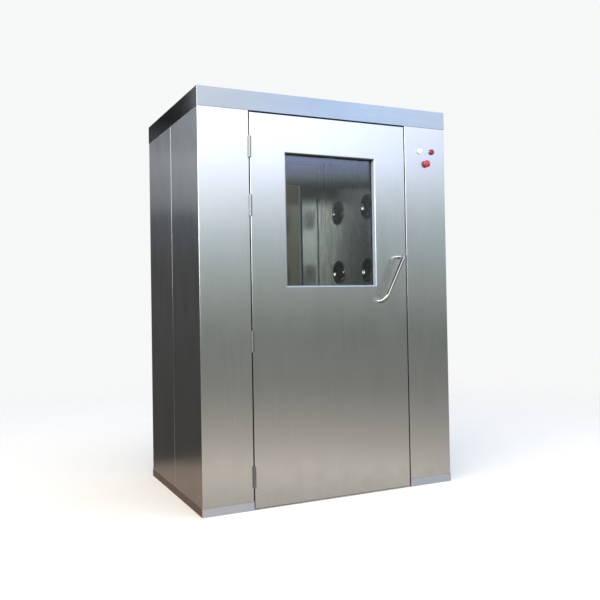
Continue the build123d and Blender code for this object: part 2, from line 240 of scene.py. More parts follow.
def plastic(name, tone, rough=0.3, speck=0.06, coat=0.0, emit=None, sss=0.0):
    m, k = new_material(name)
    pos = k.add("ShaderNodeTexCoord").outputs["Object"]
    grain = k.noise(pos, 1500.0, 2.0, 0.5)
    patch = k.noise(pos, 60.0, 3.0, 0.5)
    col = k.mix(k.remap(patch, 0.35, 0.7, 0.0, 1.0),
                tuple(c * (1 - speck) for c in tone) + (1,),
                tuple(min(1, c * (1 + speck)) for c in tone) + (1,))
    r = k.math("ADD", k.remap(grain, 0.3, 0.7, rough * 0.9, rough * 1.1),
               k.remap(patch, 0.5, 0.8, 0.0, 0.08))
    b = k.add("ShaderNodeBump")
    b.inputs["Strength"].default_value = 0.12
    b.inputs["Distance"].default_value = 0.0001
    k.put(b.inputs["Height"], grain)
    p = principled(k, Base_Color=col, Roughness=r, Normal=b.outputs[0])
    p.inputs["Coat Weight"].default_value = coat
    p.inputs["Coat Roughness"].default_value = 0.05
    if emit:
        p.inputs["Emission Color"].default_value = emit[:3] + (1,)
        p.inputs["Emission Strength"].default_value = emit[3]
    if sss:
        p.inputs["Subsurface Weight"].default_value = sss
        p.inputs["Subsurface Radius"].default_value = (0.01, 0.002, 0.002)
        p.inputs["Subsurface Scale"].default_value = 0.3
    return m


def rubber(name):
    m, k = new_material(name)
    pos = k.add("ShaderNodeTexCoord").outputs["Object"]
    grain = k.noise(pos, 900.0, 3.0, 0.6)
    dust = k.noise(pos, 30.0, 4.0, 0.6)
    col = k.mix(k.remap(dust, 0.45, 0.8, 0.0, 0.6), (0.010, 0.010, 0.011, 1),
                (0.055, 0.053, 0.050, 1))
    b = k.add("ShaderNodeBump")
    b.inputs["Strength"].default_value = 0.3
    b.inputs["Distance"].default_value = 0.0002
    k.put(b.inputs["Height"], grain)
    principled(k, Base_Color=col, Roughness=k.remap(dust, 0.3, 0.8, 0.45, 0.75),
               Normal=b.outputs[0])
    return m


def gasket(name):
    """Glazing strip: pale blue-grey where it faces out, which is grey with a painted blue sky
    reflection; black behind the glass, and black along the top as painted shade."""
    m, k = new_material(name)
    pos = k.add("ShaderNodeTexCoord").outputs["Object"]
    sep = k.add("ShaderNodeSeparateXYZ")
    k.put(sep.inputs[0], pos)
    grain = k.noise(pos, 1200.0, 2.0, 0.5)
    dust = k.noise(pos, 24.0, 4.0, 0.6)
    # painted reflection: the outward faces are tinted blue as if mirroring the sky, patchy with
    # dust
    col = k.mix(k.remap(dust, 0.35, 0.75), (0.36, 0.425, 0.53, 1), (0.31, 0.37, 0.46, 1))
    behind = k.remap(k.math("ABSOLUTE", sep.outputs["Y"]), 0.4310, 0.4290)
    # painted shade: the strip along the top turns black, as if in shadow
    top = k.remap(sep.outputs["Z"], 1.7095, 1.7115)
    col = k.mix(k.math("MAXIMUM", behind, top), col, (0.020, 0.020, 0.022, 1))
    b = k.add("ShaderNodeBump")
    b.inputs["Strength"].default_value = 0.2
    b.inputs["Distance"].default_value = 0.0001
    k.put(b.inputs["Height"], grain)
    principled(k, Base_Color=col, Roughness=k.remap(dust, 0.3, 0.8, 0.40, 0.55),
               Normal=b.outputs[0])
    return m


def glass(name):
    """Clear toughened glass: reflects by Fresnel, lets light straight through,
    with a faint dust film."""
    m, k = new_material(name)
    pos = k.add("ShaderNodeTexCoord").outputs["Object"]
    film = k.noise(pos, 7.0, 4.0, 0.6)
    fres = k.add("ShaderNodeFresnel")
    fres.inputs["IOR"].default_value = 1.50
    gloss = k.add("ShaderNodeBsdfAnisotropic")
    gloss.distribution = "GGX"
    gloss.inputs["Color"].default_value = (0.95, 0.98, 0.97, 1)
    gloss.inputs["Anisotropy"].default_value = 0.0
    k.put(gloss.inputs["Roughness"], k.remap(film, 0.4, 0.8, 0.0, 0.04))
    clear = k.add("ShaderNodeBsdfTransparent")
    clear.inputs["Color"].default_value = (0.92, 0.94, 0.93, 1)
    haze = k.add("ShaderNodeBsdfDiffuse")
    haze.inputs["Color"].default_value = (0.75, 0.77, 0.76, 1)
    first = k.add("ShaderNodeMixShader")
    k.put(first.inputs[0], k.remap(film, 0.45, 0.85, 0.0, 0.012))
    k.t.links.new(clear.outputs[0], first.inputs[1])
    k.t.links.new(haze.outputs[0], first.inputs[2])
    second = k.add("ShaderNodeMixShader")
    k.put(second.inputs[0], fres.outputs[0])
    k.t.links.new(first.outputs[0], second.inputs[1])
    k.t.links.new(gloss.outputs[0], second.inputs[2])
    out = k.add("ShaderNodeOutputMaterial")
    k.t.links.new(second.outputs[0], out.inputs["Surface"])
    return m


PANEL = steel("steel_panel_vertical", "z", dirt=0.12, streak=0.55, bump=0.7)
SIDE = steel("steel_side_vertical", "z", tone=(0.58, 0.60, 0.61), dirt=0.15, rough=0.17,
             mark=0.25, streak=0.6)
DOOR = steel("steel_door_vertical", "z", dirt=0.10, rough=0.21, streak=0.55, bump=0.7)
HEADER = steel("steel_header_horizontal", "h", tone=(0.58, 0.61, 0.64), rough=0.30,
               aniso=0.85, dirt=0.0, streak=0.5, bump=0.5)
HEADER_SIDE = steel("steel_header_side", "h", tone=(0.56, 0.57, 0.58), rough=0.08,
                    aniso=0.8)
ROOF = steel("steel_roof", "x", tone=(0.58, 0.60, 0.62), rough=0.30, aniso=0.8)
# painted reflection: the base's outside faces get a brown tint, as if mirroring the ground
BASE = steel("steel_base_horizontal", "h", tone=(0.74, 0.72, 0.71), rough=0.40,
             aniso=0.85, dirt=0.25, low=-0.12, plinth_ground_reflection=(0.56, 0.42, 0.34))
DECK = steel("steel_floor_deck", "y", tone=(0.52, 0.53, 0.53), rough=0.34, aniso=0.7,
             dirt=0.5)
INNER = steel("steel_inner_satin", "z", tone=(0.53, 0.515, 0.49), rough=0.27,
              streak=0.2, bump=0.15,
              aniso=0.85, dirt=0.1)
FRAME = steel("steel_frame_satin", "z", tone=(0.50, 0.505, 0.49), rough=0.25, aniso=0.8, streak=0.4,
              dirt=0.1)
CEILING = steel("steel_ceiling_satin", "x", tone=(0.55, 0.57, 0.57), rough=0.34,
                aniso=0.6)
HINGE = steel("steel_hinge", "z", tone=(0.26, 0.265, 0.27), rough=0.30, aniso=0.3)
TUBE = chrome("chrome_tube", (0.50, 0.49, 0.48), 0.03, 0.03)
# painted shade: the nozzle chrome is toned far darker than chrome, so bowls and balls read black as
# if mirroring a dark chamber
BOWL = chrome("chrome_bowls_painted_dark", (0.27, 0.27, 0.265), 0.035, 0.03)
BALL = chrome("chrome_balls_painted_dark", (0.32, 0.32, 0.315), 0.035, 0.03)
SCREW = chrome("screw_steel", (0.52, 0.52, 0.52), 0.18, 0.10)
GLASS = glass("window_glass_clear")
RUBBER = rubber("rubber_black")
GASKET = gasket("gasket_painted_sky_and_shade")
WHITE = plastic("lens_white", (0.93, 0.94, 0.94), 0.22, 0.02, 0.6,
                emit=(1.0, 1.0, 1.0, 0.32))
RED_LENS = plastic("lens_dark_red", (0.22, 0.005, 0.022), 0.12, 0.35, 0.5)
RED = plastic("button_red", (0.46, 0.020, 0.036), 0.24, 0.08, 0.5)
BEZEL = chrome("bezel_satin", (0.40, 0.40, 0.41), 0.16, 0.10)
# painted shade: the collar is toned dark, as if in the shadow of the button's head
COLLAR = chrome("collar_satin_painted_shade", (0.20, 0.19, 0.19), 0.32, 0.10)
OPAL = plastic("opal_diffuser", (0.88, 0.90, 0.90), 0.45, 0.02, 0.0,
               emit=(0.93, 0.97, 1.0, 0.04))


def assign(name, material):
    o = nodes[name]
    if not o.material_slots:
        o.data.materials.append(material)
    for s in o.material_slots:
        s.material = material


LOOK = {
    "front_panel": PANEL, "rear_panel": PANEL, "side_panel": SIDE, "header_left": HEADER_SIDE,
    "header_right": HEADER_SIDE, "header": HEADER,
    "roof": ROOF, "base": BASE, "floor": DECK, "inner_wall": INNER,
    "return_grilles": INNER, "ceiling_panel": CEILING, "ceiling_light": OPAL,
    "door_jambs": FRAME, "door_head": FRAME, "door_seals": RUBBER,
    "window_seal": GASKET, "window_glass": GLASS, "door_leaf": DOOR,
    "door_handle": TUBE, "hinge": HINGE, "nozzle_bowls": BOWL, "nozzle_balls": BALL,
    "white_lamps": WHITE, "red_lamps": RED_LENS, "lamp_bases": BEZEL,
    "button_collars": COLLAR, "stop_button": RED,
}
for n in nodes:
    for start, look in LOOK.items():
        if n.startswith(start):
            assign(n, look)
            break
    else:
        raise RuntimeError("no look for " + n)


# ------------------------------------------------------------------ mesh kit
def make(name, verts, faces, material, body, smooth=True, replaces=()):
    me = bpy.data.meshes.new(name)
    me.from_pydata(verts, [], faces)
    me.validate()
    me.update()
    if smooth:
        for p in me.polygons:
            p.use_smooth = True
    o = bpy.data.objects.new(name, me)
    scene.collection.objects.link(o)
    me.materials.append(material)
    bm = bmesh.new()
    bm.from_mesh(me)
    bmesh.ops.recalc_face_normals(bm, faces=bm.faces)
    bm.to_mesh(me)
    bm.free()
    if smooth:
        me.set_sharp_from_angle(angle=math.radians(32))
    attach(o, body)
    if replaces:
        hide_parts(*replaces)
    return o


def lathe(profile, segs, place, closed=False):
    """Verts and faces of a turned piece.  profile is (radius, height); place
    maps (x, y, height) to the row frame."""
    verts, faces, ring = [], [], []
    for r, h in profile:
        if r < 1e-7:
            ring.append([len(verts)])
            verts.append(place(0, 0, h))
        else:
            ring.append(list(range(len(verts), len(verts) + segs)))
            for i in range(segs):
                a = 2 * math.pi * i / segs
                verts.append(place(r * math.cos(a), r * math.sin(a), h))
    pairs = list(zip(ring, ring[1:]))
    if closed:
        pairs.append((ring[-1], ring[0]))
    for a, b in pairs:
        for i in range(segs):
            j = (i + 1) % segs
            if len(a) == 1 and len(b) == 1:
                continue
            if len(a) == 1:
                faces.append((a[0], b[i], b[j]))
            elif len(b) == 1:
                faces.append((a[i], b[0], a[j]))
            else:
                faces.append((a[i], b[i], b[j], a[j]))
    return verts, faces


def join(parts):
    verts, faces = [], []
    for v, f in parts:
        n = len(verts)
        verts += v
        faces += [tuple(i + n for i in q) for q in f]
    return verts, faces


def turned(p):
    """The same place at the rear end."""
    return (-p[0], -p[1], p[2])


def arc(cx, cy, r, a0, a1, n):
    """Profile points on an arc, angles in degrees."""
    return [(cx + r * math.cos(math.radians(a0 + (a1 - a0) * i / n)),
             cy + r * math.sin(math.radians(a0 + (a1 - a0) * i / n)))
            for i in range(n + 1)]


# ------------------------------------------------------------------- nozzles
def wall_place(x, y, z, s):
    """Height runs into the chamber, -s along X."""
    return lambda u, v, h: (x - s * h, y + u, z + v)


places = [(WALL_X, y, z, 1) for y in NOZZLE_Y for z in NOZZLE_Z]
places += [(-x, -y, z, -1) for x, y, z, s in places]

mm = 0.001
bowl = [(74.0, 0.0), (74.0, 1.4)]
bowl += arc(71.9, 1.4, 2.1, 0, 90, 5)
bowl += [(70.2, 3.5), (68.9, 3.1), (67.9, 2.2), (67.2, 1.0)]


def cup(r0, h0, k, a, b, n):
    """Arc of the cup's wall; its slope to the axis goes from a to b degrees."""
    out = []
    for i in range(n):
        t = math.radians(a + (b - a) * i / (n - 1))
        out.append((r0 - k * (math.cos(math.radians(a)) - math.cos(t)),
                    h0 - k * (math.sin(t) - math.sin(math.radians(a)))))
    return out


bowl += cup(66.0, -0.6, 56.6, 22, 64, 15)
bowl += [(36.0, -31.0), (34.5, -31.3), (34.1, -31.9), (34.1, -34.0), (36.4, -34.0)]
bowl += [(r + 1.45, h - 1.2) for r, h in cup(66.0, -0.6, 56.6, 22, 62, 9)][::-1]
bowl += [(68.3, -0.8), (68.5, 0.0)]
parts = []
for x, y, z, s in places:
    parts.append(lathe([(r * mm, h * mm) for r, h in bowl], 88,
                       wall_place(x, y, z, s), closed=True))
v, f = join(parts)
make("nozzle_bowls_spun", v, f, BOWL, "cabinet",
     replaces=("nozzle_bowls",))

BALL_R, JET_R = 34.0, 15.0
a_jet = math.degrees(math.asin((JET_R + 1.6) / BALL_R))
ball = [(BALL_R * math.cos(math.radians(t)), BALL_R * math.sin(math.radians(t)))
        for t in [-90 + a_jet + (180 - 2 * a_jet) * i / 30 for i in range(31)]]
lip = BALL_R * math.cos(math.radians(a_jet))
bore = [(JET_R + 0.9, lip - 0.25), (JET_R + 0.3, lip - 0.9), (JET_R, lip - 1.9),
        (JET_R - 0.1, lip - 12), (JET_R - 0.1, -lip + 12), (JET_R, -lip + 1.9),
        (JET_R + 0.3, -lip + 0.9), (JET_R + 0.9, -lip + 0.25)]
parts = []
for x, y, z, s in places:
    p = wall_place(x, y, z, s)
    parts.append(lathe([(r * mm, (h - 32.0) * mm) for r, h in ball + bore], 72, p,
                       closed=True))
v, f = join(parts)
make("nozzle_balls_turned", v, f, BALL, "cabinet",
     replaces=("nozzle_balls",))


# ------------------------------------------------------------------- handles
def tube(path, radius, segs):
    """A swept tube along points, with a parallel-carried section and closed
    ends."""
    verts, faces, rings = [], [], []
    t0 = (path[1] - path[0]).normalized()
    u = t0.orthogonal().normalized()
    for i, p in enumerate(path):
        a = path[max(i - 1, 0)]
        b = path[min(i + 1, len(path) - 1)]
        t = (b - a).normalized()
        u = (u - t * u.dot(t)).normalized()
        w = t.cross(u)
        rings.append(len(verts))
        for j in range(segs):
            q = 2 * math.pi * j / segs
            verts.append(tuple(p + radius * (u * math.cos(q) + w * math.sin(q))))
    for a, b in zip(rings, rings[1:]):
        for j in range(segs):
            k = (j + 1) % segs
            faces.append((a + j, b + j, b + k, a + k))
    faces.append(tuple(range(rings[0], rings[0] + segs)))
    faces.append(tuple(reversed(range(rings[-1], rings[-1] + segs))))
    return verts, faces


def rounded(points, radii, step=math.radians(3)):
    """Points along a polyline whose corners are arcs of the given radii."""
    out = [points[0]]
    for a, b, c, r in zip(points, points[1:], points[2:], radii):
        d0, d1 = (a - b).normalized(), (c - b).normalized()
        half = d0.angle(d1) / 2
        back = r / math.tan(half)
        centre = b + (d0 + d1).normalized() * (r / math.sin(half))
        s, e = b + d0 * back - centre, b + d1 * back - centre
        sweep = s.angle(e)
        n = max(4, int(sweep / step))
        for i in range(n + 1):
            t = i / n
            out.append(centre + (s * math.sin((1 - t) * sweep)
                                 + e * math.sin(t * sweep)) / math.sin(sweep))
    out.append(points[-1])
    return out


foot_top, foot_low, out_y = (0.393, 1.210), (0.275, 0.979), 0.050
raw = [Vector((foot_top[0], -FACE_Y, foot_top[1])),
       Vector((foot_top[0], -FACE_Y - out_y, foot_top[1])),
       Vector((foot_low[0], -FACE_Y - out_y, foot_low[1])),
       Vector((foot_low[0], -FACE_Y, foot_low[1]))]
line = rounded(raw, (0.020, 0.038))
# weld beads where the tube meets the leaf
def bead(p, segs=40):
    """Small concave weld around the tube's foot."""
    prof = [(10.3, 3.2), (10.9, 2.0), (11.8, 0.9), (13.0, 0.25), (13.4, 0.0), (10.3, 0.0)]
    return lathe([(r * mm, h * mm) for r, h in prof], segs,
                 lambda u, w, h: (p[0] + u, -FACE_Y - h, p[1] + w), closed=True)


v, f = join([tube(line, 0.01049, 40), bead(foot_top), bead(foot_low)])
make("door_handle_front_tube", v, f, TUBE, "front_door",
     replaces=("door_handle_front",))
make("door_handle_rear_tube", [turned(p) for p in v], f, TUBE, "rear_door",
     replaces=("door_handle_rear",))


# ------------------------------------------------------------------ grilles
def grille(s):
    """Perforated plate with rows of long slots and folded edges.  s is the
    side of the chamber."""
    x = s * WALL_X
    y0, y1 = -CHAMBER_Y + 0.0005, CHAMBER_Y - 0.0005
    z0, z1 = BASE_Z, GRILLE_Z - 0.0005
    slot_w, slot_h = 0.040, 0.0050
    pitch_y, pitch_z = 0.050, 0.0125
    margin_y, margin_z = 0.030, 0.030
    ny = int((y1 - y0 - 2 * margin_y + 0.010) / pitch_y)
    nz = int((z1 - z0 - 2 * margin_z) / pitch_z)
    start_y = (y0 + y1) / 2 - (ny - 1) * pitch_y / 2
    start_z = (z0 + z1) / 2 - (nz - 1) * pitch_z / 2
    verts, faces = [], []
    seg = 5                               # steps in each half-round slot end

    def outline(cy, cz, depth):
        r = slot_h / 2
        pts = []
        for i in range(seg + 1):
            a = -math.pi / 2 + math.pi * i / seg
            pts.append((cy + slot_w / 2 - r + r * math.cos(a), cz + r * math.sin(a)))
        for i in range(seg + 1):
            a = math.pi / 2 + math.pi * i / seg
            pts.append((cy - slot_w / 2 + r + r * math.cos(a), cz + r * math.sin(a)))
        return [(x + s * depth, p, q) for p, q in pts]

    def cell_ring(cy, cz, hy, hz, depth, n):
        """Points on the cell's border, one for each point of the outline and in its order; n is not
        used.
        """
        pts = []
        for i in range(seg + 1):
            t = i / seg
            pts.append((cy + hy, cz - hz + 2 * hz * t))
        for i in range(seg + 1):
            t = i / seg
            pts.append((cy - hy, cz + hz - 2 * hz * t))
        return [(x + s * depth, p, q) for p, q in pts]

    n = 2 * (seg + 1)
    for iy in range(ny):
        for iz in range(nz):
            cy, cz = start_y + iy * pitch_y, start_z + iz * pitch_z
            base = len(verts)
            verts += cell_ring(cy, cz, pitch_y / 2, pitch_z / 2, 0.0, n)
            verts += outline(cy, cz, 0.0)
            verts += outline(cy, cz, 0.0015)
            verts += cell_ring(cy, cz, pitch_y / 2, pitch_z / 2, 0.0015, n)
            for a, b in ((0, 1), (1, 2), (2, 3)):
                for i in range(n):
                    j = (i + 1) % n
                    faces.append((base + a * n + i, base + a * n + j,
                                  base + b * n + j, base + b * n + i))
    # plain border with folded sides
    cy0, cy1 = start_y - pitch_y / 2, start_y + (ny - 0.5) * pitch_y
    cz0, cz1 = start_z - pitch_z / 2, start_z + (nz - 0.5) * pitch_z

    def frame_ring(points):
        base = len(verts)
        verts.extend(points)
        return base

    def rect(a0, a1, b0, b1, depth):
        return [(x + s * depth, a0, b0), (x + s * depth, a1, b0),
                (x + s * depth, a1, b1), (x + s * depth, a0, b1)]

    e = 0.0012
    rings = [frame_ring(rect(cy0, cy1, cz0, cz1, 0.0)),
             frame_ring(rect(y0 + e, y1 - e, z0 + e, z1 - e, 0.0)),
             frame_ring(rect(y0 + e * 0.3, y1 - e * 0.3, z0 + e * 0.3, z1 - e * 0.3,
                             e * 0.3)),
             frame_ring(rect(y0, y1, z0, z1, e)),
             frame_ring(rect(y0, y1, z0, z1, 0.0250)),
             frame_ring(rect(y0 + 0.0015, y1 - 0.0015, z0 + 0.0015, z1 - 0.0015, 0.0250)),
             frame_ring(rect(y0 + 0.0015, y1 - 0.0015, z0 + 0.0015, z1 - 0.0015, 0.0015)),
             frame_ring(rect(cy0, cy1, cz0, cz1, 0.0015))]
    for a, b in zip(rings, rings[1:]):
        for i in range(4):
            j = (i + 1) % 4
            faces.append((a + i, a + j, b + j, b + i))
    return verts, faces


v, f = join([grille(1), grille(-1)])
gr = make("return_grilles_slotted", v, f, INNER, "cabinet", smooth=False,
          replaces=("return_grilles",))
bm = bmesh.new()
bm.from_mesh(gr.data)
bmesh.ops.remove_doubles(bm, verts=bm.verts, dist=0.00002)
bmesh.ops.recalc_face_normals(bm, faces=bm.faces)
bm.to_mesh(gr.data)
bm.free()


# ------------------------------------------------------------------- screws
def screw(place, r=4.2, segs=20, turn=0.0):
    """Pan-head screw with a cross recess; place maps (u, v, height) in mm."""
    verts, faces = lathe([(r * 1.0, 0.0), (r * 0.99, 0.6), (r * 0.90, 1.25),
                          (r * 0.70, 1.75), (r * 0.52, 2.0)], segs,
                         lambda a, b, h: place(a, b, h))
    top = len(verts) - segs
    # cross recess: a ring of points that dips along the two slots
    ring2 = len(verts)
    for i in range(segs):
        a = 2 * math.pi * i / segs
        verts.append(place(r * 0.34 * math.cos(a), r * 0.34 * math.sin(a),
                           2.08 if (i % (segs // 4)) not in (0,) else 1.2))
    ring3 = len(verts)
    for i in range(segs):
        a = 2 * math.pi * i / segs
        verts.append(place(r * 0.12 * math.cos(a), r * 0.12 * math.sin(a), 1.0))
    last = len(verts)
    verts.append(place(0, 0, 0.95))
    for a, b in ((top, ring2), (ring2, ring3)):
        for i in range(segs):
            j = (i + 1) % segs
            faces.append((a + i, b + i, b + j, a + j))
    for i in range(segs):
        faces.append((ring3 + i, last, ring3 + (i + 1) % segs))
    return verts, faces


def spun(p, normal, up, turn):
    """Placement for a screw: origin p, head along normal, turned about it."""
    n = Vector(normal).normalized()
    u = Vector(up).cross(n).normalized()
    w = n.cross(u)
    c, s = math.cos(turn), math.sin(turn)
    return lambda a, b, h: tuple(Vector(p) + mm * ((a * c - b * s) * u
                                                   + (a * s + b * c) * w + h * n))


inside = []
for s in (1, -1):
    for z in (0.420, 0.820, 1.220, 1.620):
        for y in (-0.362, 0.362):
            inside.append(((s * WALL_X, y, z), (-s, 0, 0), (0, 0, 1), 3.2))
    for z in (0.058, 0.322):
        for y in (-0.355, 0.0, 0.355):
            inside.append(((s * WALL_X, y, z), (-s, 0, 0), (0, 0, 1), 3.2))
    for y in (-0.345, 0.345):
        for x in (-0.33, 0.33):
            if s == 1:
                inside.append(((x, y, CEIL_Z), (0, 0, -1), (0, 1, 0), 3.2))
# door frames: the strip facing the chamber beside the opening
for e in (1, -1):
    for x in (-0.3815, 0.3815):
        for z in (0.22, 0.80, 1.80):
            inside.append(((x, e * (CHAMBER_Y), z), (0, -e, 0), (0, 0, 1), 2.6))
parts = [screw(spun(p, n, up, random.uniform(0, 1.57)), r=r) for p, n, up, r in inside]
v, f = join(parts)
make("chamber_screws", v, f, SCREW, "cabinet")

# roof: screws around the let-in top sheet
parts = []
for x in (-0.645, -0.32, 0.0, 0.32, 0.645):
    for y in (-0.405, 0.405):
        parts.append(((x, y), 0))
for y in (-0.14, 0.14):
    for x in (-0.645, 0.645):
        parts.append(((x, y), 0))
ROOF_SINK = 0.0022                      # heads sit in dimples, below the top
v, f = join([screw(spun((p[0], p[1], 2.0 - ROOF_SINK), (0, 0, 1), (0, 1, 0),
                        random.uniform(0, 1.57)), r=4.0) for p, _ in parts])
make("roof_screws", v, f, SCREW, "cabinet")


# --------------------------------------------------------- hinge pin heads
def pin_head(x, y, z, up):
    prof = [(0.0, 0.9), (1.8, 0.8), (3.6, 0.3), (4.4, -0.3), (4.4, -0.6), (0.0, -0.6)]
    return lathe([(r * mm, h * mm) for r, h in prof], 24,
                 lambda a, b, h: (x + a, y + b, z + up * h))


HX, HY = -0.441, -(FACE_Y + 0.007)
parts = []
for z0 in (1.681, 1.399, 0.749, 0.106):
    for z, up in ((z0 - 0.0002, -1), (z0 + 0.1018, 1)):
        q = pin_head(HX, HY, z, up)
        parts.append(q)
        parts.append(([turned(p) for p in q[0]], q[1]))
v, f = join(parts)
make("hinge_pin_heads", v, f, HINGE, "cabinet")


# ------------------------------------------------------ lamps and push button
def front_place(x, z, e):
    """Height runs out of the end's face."""
    if e > 0:
        return lambda a, b, h: (x + a, -FACE_Y - h, z + b)
    return lambda a, b, h: (-x - a, FACE_Y + h, z + b)


def lens(place, ribs, crown):
    """Moulded lamp lens: a crowned cap with fine rings and a fluted skirt."""
    segs = 72
    prof = [(0.0, crown)]
    for i in range(1, 15):
        r = 13.4 * i / 14
        h = crown - (crown - 10.2) * (r / 13.4) ** 2.2
        prof.append((r, h + (ribs if i % 2 else -ribs)))
    prof += [(13.9, 9.6), (14.15, 8.6), (14.2, 7.0), (14.2, 3.0)]
    verts, faces = lathe([(r * mm, h * mm) for r, h in prof], segs,
                         lambda a, b, h: (a, b, h))
    out = []
    for a, b, h in verts:
        if h < 0.0088 and h > 0.0031:
            t = math.atan2(b, a)
            k = 1 - 0.018 * (0.5 + 0.5 * math.cos(36 * t))
            a, b = a * k, b * k
        out.append(place(a, b, h))
    return out, faces


parts = [lens(front_place(0.535, 1.778, e), 0.10, 13.0) for e in (1, -1)]
v, f = join(parts)
make("white_lamps_lens", v, f, WHITE, "cabinet",
     replaces=("white_lamps",))
parts = [lens(front_place(0.614, 1.778, e), 0.16, 13.0) for e in (1, -1)]
v, f = join(parts)
make("red_lamps_lens", v, f, RED_LENS, "cabinet",
     replaces=("red_lamps",))

bezel = [(15.5, 0.0), (15.5, 1.6), (15.3, 2.3), (14.9, 2.8), (14.4, 3.0), (14.25, 2.6),
         (14.25, 0.4), (14.25, 0.0)]
parts = []
for x in (0.535, 0.614):
    for e in (1, -1):
        parts.append(lathe([(r * mm, h * mm) for r, h in bezel], 64,
                           front_place(x, 1.778, e), closed=True))
v, f = join(parts)
make("lamp_bezels", v, f, BEZEL, "cabinet")

mush = [(0.0, 20.15)] + [(19.0 * math.sin(math.radians(t)),
                          14.2 + 5.9 * math.cos(math.radians(t)) ** 0.8)
                         for t in (8, 16, 24, 32, 40, 48, 56, 64, 72, 80)]
mush += [(19.2, 15.0), (19.45, 14.2), (19.45, 13.4), (19.2, 12.2), (18.5, 11.0),
         (17.2, 10.2), (12.0, 10.05), (7.0, 10.4), (6.0, 9.0), (6.0, -1.9), (0.0, -1.9)]
v, f = lathe([(r * mm, h * mm) for r, h in mush], 80, front_place(0.577, 1.712, 1))
make("stop_button_front_head", v, f, RED, "front_button",
     replaces=("stop_button_front",))
make("stop_button_rear_head", [turned(p) for p in v], f, RED, "rear_button",
     replaces=("stop_button_rear",))


# --------------------------------------------------------------------- floor
def floor_disc():
    verts, faces = [], []
    rings, segs = 24, 96
    verts.append((0.0, 0.0, -0.0005))
    for i in range(1, rings + 1):
        r = 9.0 * (i / rings) ** 1.6
        for j in range(segs):
            a = 2 * math.pi * j / segs
            verts.append((r * math.cos(a), r * math.sin(a), -0.0005))
    for j in range(segs):
        faces.append((0, 1 + j, 1 + (j + 1) % segs))
    for i in range(rings - 1):
        a, b = 1 + i * segs, 1 + (i + 1) * segs
        for j in range(segs):
            k = (j + 1) % segs
            faces.append((a + j, b + j, b + k, a + k))
    me = bpy.data.meshes.new("studio_floor")
    me.from_pydata(verts, [], faces)
    o = bpy.data.objects.new("studio_floor", me)
    scene.collection.objects.link(o)
    m, k = new_material("studio_floor_pale")
    pos = k.add("ShaderNodeTexCoord").outputs["Object"]
    fade = k.remap(k.add("ShaderNodeVectorMath", operation="LENGTH",
                         inputs={0: pos}).outputs["Value"], 1.5, 5.2, smooth=True)
    n = k.noise(pos, 14.0, 3.0, 0.5)
    d = k.add("ShaderNodeBsdfDiffuse")
    k.put(d.inputs["Color"], k.mix(n, (0.915, 0.85, 0.775, 1), (0.94, 0.875, 0.80, 1)))
    t = k.add("ShaderNodeBsdfTransparent")
    mx = k.add("ShaderNodeMixShader")
    k.put(mx.inputs[0], fade)
    k.t.links.new(d.outputs[0], mx.inputs[1])
    k.t.links.new(t.outputs[0], mx.inputs[2])
    out = k.add("ShaderNodeOutputMaterial")
    k.t.links.new(mx.outputs[0], out.inputs["Surface"])
    me.materials.append(m)
    o.visible_glossy = False
    return o


floor_disc()


